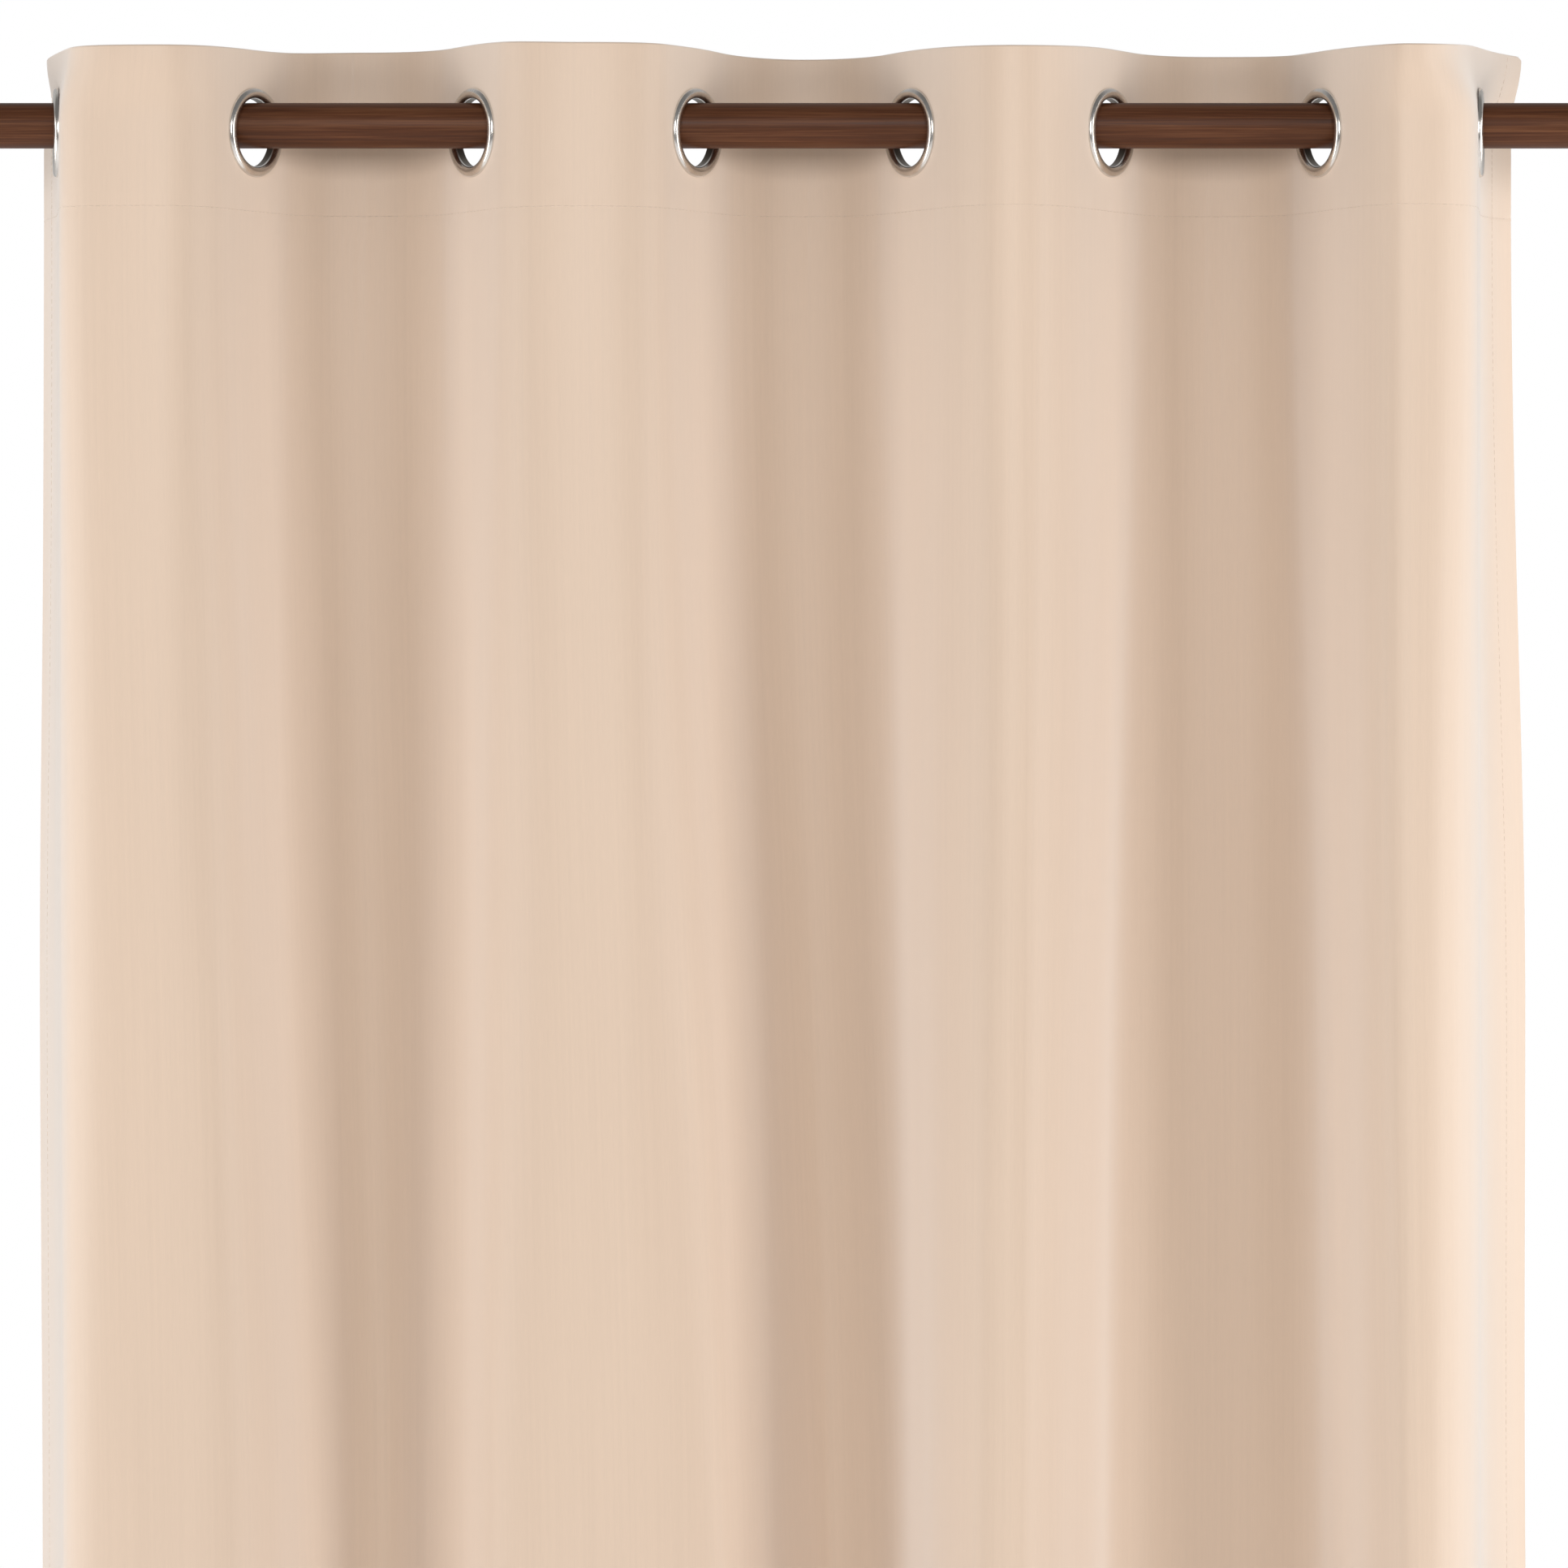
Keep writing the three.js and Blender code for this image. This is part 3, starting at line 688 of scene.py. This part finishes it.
def sheet_mesh(name, places, normals, keep, uvs, thickness, material):
    """A closed sheet of a thickness over the kept cells of a grid, with smooth normals."""
    shape = places.shape[:2]
    outer = (places + normals * thickness / 2).reshape(-1, 3)
    inner = (places - normals * thickness / 2).reshape(-1, 3)
    count = len(outer)
    index = np.arange(count).reshape(shape)
    i, j = np.nonzero(keep)
    a, b, c, d = index[i, j], index[i, j + 1], index[i + 1, j + 1], index[i + 1, j]
    faces = np.vstack((np.stack((a, b, c, d), 1), np.stack((d, c, b, a), 1) + count))
    padded = np.pad(keep, 1)
    rims = []
    for corners, neighbour in (
        ((a, b), padded[i, j + 1]), ((b, c), padded[i + 1, j + 2]),
        ((c, d), padded[i + 2, j + 1]), ((d, a), padded[i + 1, j]),
    ):
        first, second = corners[0][~neighbour], corners[1][~neighbour]
        rims.append(np.stack((second, first, first + count, second + count), 1))
    faces = np.vstack((faces, *rims))
    used, faces = np.unique(faces, return_inverse=True)
    faces = faces.reshape(-1, 4)
    thing = new_object(name, np.vstack((outer, inner))[used], faces.tolist(), material)
    layer = thing.data.uv_layers.new(name="cloth")
    flat_uvs = np.vstack((uvs.reshape(-1, 2), uvs.reshape(-1, 2)))[used]
    layer.data.foreach_set("uv", flat_uvs[faces.ravel()].astype(np.float32).ravel())
    directions = np.vstack((normals.reshape(-1, 3), -normals.reshape(-1, 3)))[used]
    thing.data.normals_split_custom_set_from_vertices([tuple(v) for v in directions])
    return thing


def stitch_row(name, starts, ends, normals):
    """A row of stitches, each a short plump thread between two points on the cloth."""
    sides, sections = 6, ((0.0, 0.25), (0.12, 0.85), (0.5, 1.0), (0.88, 0.85), (1.0, 0.25))
    vertices, faces = [], []
    for start, end, normal in zip(starts, ends, normals):
        start, end, normal = Vector(start), Vector(end), Vector(normal)
        middle, along = (start + end) / 2, (end - start).normalized()
        side = along.cross(normal).normalized()
        first = len(vertices)
        for share, width in sections:
            base = middle + along * STITCH_LENGTH * (share - 0.5)
            for n in range(sides):
                angle = 2 * math.pi * n / sides
                spoke = side * math.cos(angle) + normal * math.sin(angle)
                vertices.append(base + spoke * STITCH_RADIUS * width)
        for ring in range(len(sections) - 1):
            for n in range(sides):
                m = (n + 1) % sides
                a, b = first + ring * sides, first + (ring + 1) * sides
                faces.append((a + n, a + m, b + m, b + n))
        last = first + (len(sections) - 1) * sides
        faces.append(tuple(first + n for n in reversed(range(sides))))
        faces.append(tuple(last + n for n in range(sides)))
    return new_object(name, vertices, faces, THREAD)


def level_stitches(row, first, last, outer, normals):
    """A stitch between each pair of neighbouring columns along a row."""
    here, there = outer[row, first:last], outer[row, first + 1:last + 1]
    return here, there, normals[row, first:last]


def upright_stitches(column, rows, outer, normals):
    """Stitches up a column of the front layer, several to each cell."""
    starts, ends, ups = [], [], []
    for row in rows[:-1]:
        low, high = outer[row, column], outer[row + 1, column]
        count = max(1, round(np.linalg.norm(high - low) / (4.4 * MM)))
        for n in range(count):
            starts.append(low + (high - low) * n / count)
            ends.append(low + (high - low) * (n + 1) / count)
            ups.append(normals[row, column])
    return starts, ends, ups


def build_cloth():
    rows, columns, lines, places, normals = cloth_grid()
    keep = cut_eyelet_holes(rows, columns, lines, places, normals)
    uvs = np.stack(np.broadcast_arrays(columns[None, :, 0], rows[:, None, 0]), 2)
    outer = places + normals * CLOTH_THICKNESS / 2
    front = [i for i in range(len(rows)) if rows[i, 2] == 1]
    heading_row = min(front, key=lambda i: abs(rows[i, 0] - STITCH_LINE - 1.2 * MM))
    hem_row = min(front, key=lambda i: abs(rows[i, 0] - BOTTOM - BOTTOM_HEM + 2 * MM))
    edges = [0, *lines, len(columns) - 1]
    panels = ["curtain_left_edge", *[f"curtain_fold_{k + 1}" for k in range(7)],
              "curtain_right_edge"]
    for n, name in enumerate(panels):
        first, last = edges[n], edges[n + 1]
        cut = slice(first, last + 1)
        sheet = sheet_mesh(
            name, places[:, cut], normals[:, cut], keep[:, first:last], uvs[:, cut],
            CLOTH_THICKNESS, SATIN,
        )
        front_first = first + (HEM_COLUMNS if n == 0 else 0)
        front_last = last - (HEM_COLUMNS if n == len(panels) - 1 else 0)
        runs = [level_stitches(row, front_first, front_last, outer, normals)
                for row in (heading_row, hem_row)]
        if n in (0, len(panels) - 1):
            hem_line = SIDE_HEM - 2 * MM
            flat = [j for j in range(first, last) if columns[j, 1] == 0]
            if n == 0:
                column = min(flat, key=lambda j: abs(columns[j, 0] - hem_line))
            else:
                width = columns[:, 0].max()
                column = min(flat, key=lambda j: abs(width - columns[j, 0] - hem_line))
            runs.append(upright_stitches(column, front, outer, normals))
        starts, ends, ups = [np.vstack([run[part] for run in runs]) for part in range(3)]
        stitches = stitch_row(f"stitching_{n + 1}", starts, ends, ups)
        tape = build_tape(n, rows, columns, lines, places, normals, keep, uvs, first, last)
        for piece, slot in ((sheet, "curtain_cloth"), (stitches, "curtain_cloth"),
                            (tape, "stiffener")):
            hang(piece, n)
        width = FLAP + SIDE_HEM if n in (0, len(panels) - 1) else FOLD_CLOTH
        strips = [k + 1 for k in (n - 1, n) if 0 <= k < len(lines)]
        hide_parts(*[f"cloth_{k}" for k in strips], *[f"heading_{k}" for k in strips])
        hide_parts(*[f"heading_tape_{k}" for k in strips])


def build_tape(n, rows, columns, lines, places, normals, keep, uvs, first, last):
    """The stiffener inside the heading, midway between its two layers."""
    front = [i for i in range(len(rows)) if rows[i, 2] == 1
             and STITCH_LINE + 5 * MM < rows[i, 0] < TOP - 1.5 * MM]
    flat = [j for j in range(first, last + 1) if columns[j, 1] == 0]
    if n == 0:
        flat = [j for j in flat if columns[j, 0] > SIDE_HEM + 2 * MM]
    if n == len(lines):
        flat = [j for j in flat if columns[j, 0] < columns[:, 0].max() - SIDE_HEM - 2 * MM]
    pick = np.ix_(front, flat)
    moved = places[pick] + normals[pick] * FACE_OFFSET
    cells = keep[np.ix_(front[:-1], flat[:-1])]
    return sheet_mesh(f"heading_stiffener_{n + 1}", moved, normals[pick], cells, uvs[pick],
                      0.5 * MM, BUCKRAM)


def hang(piece, n):
    """An edge strip rides with its own eyelet; a fold stays as built, its transform baked into its
    mesh.
    """
    if n == 0:
        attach(piece, "panel_1")
    elif n == len(CENTRES):
        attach(piece, f"panel_{n}")
    else:
        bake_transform(piece)


# ---- Eyelets ----

def dome(inner, outer, base, height, count=15):
    """A rounded flange's outline from its outer foot over the crown to its inner foot."""
    half, middle = (outer - inner) / 2, (outer + inner) / 2
    points = []
    for angle in np.linspace(0, math.pi, count):
        full = math.sin(angle) ** 0.75
        points.append((middle + half * math.cos(angle), base + height * full))
    return points


def build_eyelets():
    """Both halves of each eyelet, turned about the axis that points to the room."""
    face = -FACE_OFFSET + CLOTH_THICKNESS / 2
    for k in EYELETS:
        room = -AXES[k]
        front = dome(EYELET_HOLE, EYELET_RADIUS, face, EYELET_DOME, 21)
        barrel_end = -face - EYELET_DOME + 0.7 * MM
        outline = [
            *front, (EYELET_HOLE, barrel_end + 0.3 * MM),
            (EYELET_HOLE + 0.35 * MM, barrel_end), (EYELET_HOLE + BARREL_WALL, barrel_end),
            (EYELET_HOLE + BARREL_WALL, face),
        ]
        ring = turned(f"eyelet_face_{k + 1}", outline, CENTRES[k], room, NICKEL, 96, True)
        # The faces inside the hole take the dark metal: painted shade where the rod and ring shadow
        # the barrel.
        ring.data.materials.append(BARREL_PAINTED_SHADE)
        for face_of_ring in ring.data.polygons:
            spoke = face_of_ring.center - CENTRES[k]
            depth = spoke.dot(room)
            if depth < face and (spoke - room * depth).length < EYELET_HOLE + 0.5 * MM:
                face_of_ring.material_index = 1
        finish_piece(ring, f"panel_{k + 1}", "eyelet_nickel", f"eyelet_front_{k + 1}")
        inner = EYELET_HOLE + BARREL_WALL + 0.12 * MM
        outline = dome(inner, EYELET_RADIUS, face, EYELET_DOME, 21)
        ring = turned(f"eyelet_rear_{k + 1}", outline, CENTRES[k], AXES[k], NICKEL, 96, True)
        finish_piece(ring, f"panel_{k + 1}", "eyelet_nickel", f"eyelet_back_{k + 1}")


# ---- Rod and finials ----

def build_rod():
    half = (ROD_HIGH.x - ROD_LOW.x) / 2
    hole, depth = 3.2 * MM, 21 * MM
    side = [(0, -half + depth), (hole, -half + depth), (hole, -half)]
    side += arc((ROD_RADIUS - 1 * MM, -half + 1 * MM), 1 * MM, -90, 0, 5)
    mirrored = [(radius, -height) for radius, height in reversed(side)]
    rod = turned("wooden_rod", side + mirrored, middle_of("rod"), (1, 0, 0), WALNUT, 96)
    finish_piece(rod, "rod_and_brackets", "walnut", "rod")


def finial_outline(ball_radius, length):
    """Spigot, bead, neck and ball, outwards from the rod's end, with the dowel's hole."""
    ball = length - ball_radius
    outline = [(0, 21 * MM), (3.2 * MM, 21 * MM), (3.2 * MM, 0.3 * MM), (13.6 * MM, 0.3 * MM),
               (13.9 * MM, 0.6 * MM), (13.9 * MM, 6.7 * MM)]
    outline += arc((15.3 * MM, 9.0 * MM), 2.1 * MM, -100, 75, 12)
    outline += [(13.0 * MM, 11.2 * MM), (11.9 * MM, 12.0 * MM), (11.3 * MM, 13.4 * MM)]
    start = math.degrees(math.acos(11.4 * MM / ball_radius))
    outline += arc((0, ball), ball_radius, -start + 2, 90, 26)
    outline[-1] = (0, outline[-1][1])
    return outline


def build_finials():
    for side, label in ((-1, "left"), (1, "right")):
        axis = (side, 0, 0)
        end = Vector((ROD_HIGH.x if side > 0 else ROD_LOW.x, ROD_Y, 0))
        low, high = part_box(f"finial_{label}")
        length = high.x - end.x if side > 0 else end.x - low.x
        ball_radius = (high.z - low.z) / 2 + 0.2 * MM
        outline = finial_outline(ball_radius, length)
        ball = turned(f"ball_finial_{label}", outline, end, axis, WALNUT, 96)
        finish_piece(ball, f"finial_{label}", "walnut", f"finial_{label}")
        collar_low, collar_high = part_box(f"finial_collar_{label}")
        radius = (collar_high.z - collar_low.z) / 2
        inner = ROD_RADIUS + 0.25 * MM
        outline = [(inner, -12 * MM), *arc((radius - 0.9 * MM, -11.1 * MM), 0.9 * MM, -90, 0, 5),
                   (radius - 0.5 * MM, -8.6 * MM), (radius - 0.5 * MM, -7.9 * MM),
                   (radius, -7.4 * MM), *arc((radius - 0.9 * MM, 5.1 * MM), 0.9 * MM, 0, 90, 5),
                   (inner, 6 * MM)]
        collar = turned(f"collar_{label}", outline, end, axis, SATIN_NICKEL, 96, True)
        finish_piece(collar, "rod_and_brackets", "bracket_nickel", f"finial_collar_{label}")
        half = 19.5 * MM
        place = Matrix.Translation(end) @ frame_along(axis)
        dowel = threaded(f"dowel_screw_{label}", 2.2 * MM, 2.95 * MM, 2.4 * MM, -half, half,
                         place @ Matrix.Rotation(math.pi, 4, "X"), ZINC)
        finish_piece(dowel, f"finial_{label}", "steel", f"finial_dowel_screw_{label}")


# ---- Brackets ----

def cradle_piece(x):
    """An open ring under the rod with rounded edges."""
    inner, outer = ROD_RADIUS + 0.4 * MM, ROD_RADIUS + 4.4 * MM
    half, edge = 9 * MM, 0.8 * MM
    section = []
    for cx, cr, start in ((half - edge, outer - edge, 0), (-half + edge, outer - edge, 90),
                          (-half + edge, inner + edge, 180), (half - edge, inner + edge, 270)):
        for angle in np.radians(np.linspace(start, start + 90, 4)):
            section.append((cx + edge * math.cos(angle), cr + edge * math.sin(angle)))
    angles = np.linspace(math.pi + 0.12, 2 * math.pi + 0.35, 40)
    vertices, faces = [], []
    for angle in angles:
        for across, radius in section:
            vertices.append((x + across, ROD_Y + radius * math.cos(angle), radius * math.sin(angle)))
    count = len(section)
    for a in range(len(angles) - 1):
        for n in range(count):
            m = (n + 1) % count
            faces.append((a * count + n, a * count + m, (a + 1) * count + m, (a + 1) * count + n))
    faces.append(tuple(reversed(range(count))))
    faces.append(tuple(range((len(angles) - 1) * count, len(angles) * count)))
    return new_object("cradle_part", vertices, faces, SATIN_NICKEL)


def join_by_boolean(base, other, operation):
    modifier = base.modifiers.new("cut", "BOOLEAN")
    modifier.operation = operation
    modifier.object = other
    modifier.solver = "EXACT"
    bpy.context.view_layer.update()
    evaluated = base.evaluated_get(bpy.context.evaluated_depsgraph_get())
    mesh = bpy.data.meshes.new_from_object(evaluated)
    base.modifiers.clear()
    base.data = mesh
    bpy.data.objects.remove(other)


def build_brackets():
    for label in ("left", "right"):
        x = middle_of(f"bracket_{label}").x
        cap = (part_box(f"bracket_{label}")[1].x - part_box(f"bracket_{label}")[0].x) / 2
        stem_end = -ROD_Y - ROD_RADIUS - 2.2 * MM
        outline = [(0, 7 * MM), (22.3 * MM, 7 * MM), (22.3 * MM, 0), (cap - 0.6 * MM, 0),
                   (cap, 0.6 * MM), (cap, 4.6 * MM), (cap - 0.5 * MM, 5.6 * MM)]
        outline += arc((cap - 6 * MM, 5.8 * MM), 5.2 * MM, 8, 82, 8)
        outline += [(cap - 7 * MM, 11.6 * MM), (cap - 7.2 * MM, 12.6 * MM)]
        outline += [(7 * MM + 12.6 * MM * (1 - math.sin(a)) ** 1.35,
                     12.8 * MM + 13 * MM * math.sin(a))
                    for a in np.linspace(0.02, math.pi / 2, 12)]
        outline += [(7 * MM, stem_end - 7 * MM), (8 * MM, stem_end - 5.5 * MM),
                    (8.2 * MM, stem_end - 3 * MM), (7.4 * MM, stem_end - 1 * MM),
                    (7 * MM, stem_end), (0, stem_end)]
        bracket = turned(f"rod_bracket_{label}", outline, (x, 0, 0), (0, -1, 0), SATIN_NICKEL, 72)
        join_by_boolean(bracket, cradle_piece(x), "UNION")
        sharpen(bracket)
        finish_piece(bracket, "rod_and_brackets", "bracket_nickel", f"bracket_{label}")
        low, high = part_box(f"rod_screw_{label}")
        head = low.z
        outline = [(0, head), *[(3.8 * MM * math.sin(a), head + 2.1 * MM * (1 - math.cos(a)))
                                for a in np.linspace(0.25, math.pi / 2, 8)],
                   (3.8 * MM, head + 2.4 * MM), (1.8 * MM, head + 2.4 * MM),
                   (1.8 * MM, high.z - 3 * MM), (0, high.z)]
        screw = turned(f"rod_fixing_screw_{label}", outline, (x, ROD_Y, 0), (0, 0, 1), ZINC, 36)
        slot_cutter(screw, Vector((x, ROD_Y, head)), (6.0 * MM, 0.8 * MM, 2.4 * MM))
        finish_piece(screw, "rod_and_brackets", "steel", f"rod_screw_{label}")
        for level in ("upper", "lower"):
            build_wall_screw(f"{label}_{level}")
        for node in (f"wall_disc_{label}", f"bracket_grub_screw_{label}"):
            repaint(node, ZINC)


def slot_cutter(piece, centre, size):
    """Cuts a screwdriver's slot into a screw's head."""
    bpy.ops.mesh.primitive_cube_add(size=1, location=centre)
    cutter = bpy.context.object
    cutter.scale = size
    bpy.context.view_layer.update()
    join_by_boolean(piece, cutter, "DIFFERENCE")


def build_wall_screw(label):
    """Countersunk head, plain neck and threaded shank that runs into the wall."""
    low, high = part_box(f"wall_screw_{label}")
    centre = Vector(((low.x + high.x) / 2, low.y, (low.z + high.z) / 2))
    outline = [(0, 0), (4 * MM, 0), (4 * MM, 0.3 * MM), (2 * MM, 2.3 * MM), (2 * MM, 8 * MM),
               (1.5 * MM, 9 * MM), (0, 9 * MM)]
    screw = turned(f"wall_fixing_screw_{label}", outline, centre, (0, 1, 0), ZINC, 36)
    for size in ((4.4 * MM, 2.6 * MM, 0.8 * MM), (0.8 * MM, 2.6 * MM, 4.4 * MM)):
        slot_cutter(screw, centre, size)
    place = Matrix.Translation(centre) @ frame_along((0, 1, 0))
    thread = threaded(f"wall_screw_thread_{label}", 1.45 * MM, 2.0 * MM, 1.8 * MM, 8.5 * MM,
                      high.y - low.y, place, ZINC)
    join_by_boolean(screw, thread, "UNION")
    finish_piece(screw, "rod_and_brackets", "steel", f"wall_screw_{label}")


def repaint(node, material):
    thing = NODES[node]
    thing.data.materials.clear()
    thing.data.materials.append(material)


# ---- Studio ----

def add_area_light(name, location, size, power):
    """A soft rectangle of light that points at LIT_POINT and isn't seen itself."""
    data = bpy.data.lights.new(name, "AREA")
    data.shape = "RECTANGLE"
    data.size, data.size_y = size
    data.energy = power
    light = bpy.data.objects.new(name, data)
    bpy.context.scene.collection.objects.link(light)
    light.location = location
    light.rotation_mode = "QUATERNION"
    light.rotation_quaternion = (Vector(LIT_POINT) - Vector(location)).to_track_quat("-Z", "Y")
    light.visible_camera = False


def build_studio():
    bpy.ops.mesh.primitive_circle_add(
        vertices=128, radius=FLOOR_RADIUS, fill_type="NGON", location=(0, 0, BOTTOM - 15 * MM)
    )
    floor = bpy.context.object
    floor.name = "studio_floor"
    floor.data.materials.append(floor_material())
    add_area_light("front_fill", (0, ROD_Y - 5.1, 0.9), (2.6, 1.8), 106)
    for name, side, angle, power in (
        ("side_light_left", -1, 66, 24), ("side_light_right", 1, 62, 28),
        ("rim_light_left", -1, 95, 12), ("rim_light_right", 1, 95, 14),
    ):
        turn = math.radians(angle)
        place = (side * LIGHT_DISTANCE * math.sin(turn),
                 ROD_Y - LIGHT_DISTANCE * math.cos(turn), LIT_POINT[2])
        add_area_light(name, place, (0.7, 2.4), power)


def build_world():
    """White to the camera. As a light it is dim in the room, where the lights stand, and brighter
    behind the curtain, where there is only its own light."""
    world = bpy.data.worlds.new("studio")
    bpy.context.scene.world = world
    world.use_nodes = True
    tree = world.node_tree
    tree.nodes.clear()
    seen = add_node(tree, "ShaderNodeBackground", Color=(1, 1, 1, 1), Strength=1.0)
    place = add_node(tree, "ShaderNodeTexCoord").outputs["Generated"]
    axes = add_node(tree, "ShaderNodeSeparateXYZ")
    tree.links.new(place, axes.inputs["Vector"])
    towards = add_node(tree, "ShaderNodeMapRange")
    for key, value in (("From Min", -1.0), ("From Max", 1.0), ("To Min", 0.0), ("To Max", 1.0)):
        towards.inputs[key].default_value = value
    tree.links.new(axes.outputs["Y"], towards.inputs["Value"])
    shade = ramp(tree, towards.outputs["Result"],
                 (0.55, (0.24, 0.24, 0.24)), (0.75, (0.60, 0.60, 0.60)))
    lit = add_node(tree, "ShaderNodeBackground", Strength=0.86)
    tree.links.new(shade, lit.inputs["Color"])
    mix = add_node(tree, "ShaderNodeMixShader")
    path = add_node(tree, "ShaderNodeLightPath")
    tree.links.new(path.outputs["Is Camera Ray"], mix.inputs["Fac"])
    tree.links.new(lit.outputs["Background"], mix.inputs[1])
    tree.links.new(seen.outputs["Background"], mix.inputs[2])
    output = add_node(tree, "ShaderNodeOutputWorld")
    tree.links.new(mix.outputs["Shader"], output.inputs["Surface"])


def build_camera():
    """Level, five metres in front of the rod, and as high as the picture's middle."""
    distance, seen_width, below_rod = 5.0, 0.966, 0.4055
    data = bpy.data.cameras.new("camera")
    data.sensor_width = 36
    data.lens = data.sensor_width * distance / seen_width
    data.clip_end = 100
    camera = bpy.data.objects.new("camera", data)
    bpy.context.scene.collection.objects.link(camera)
    camera.location = (0, ROD_Y - distance, -below_rod)
    camera.rotation_euler = (math.pi / 2, 0, 0)
    bpy.context.scene.camera = camera


build_cloth()
build_eyelets()
build_rod()
build_finials()
build_brackets()
build_studio()
build_world()
build_camera()
bpy.context.scene.view_settings.view_transform = "Standard"
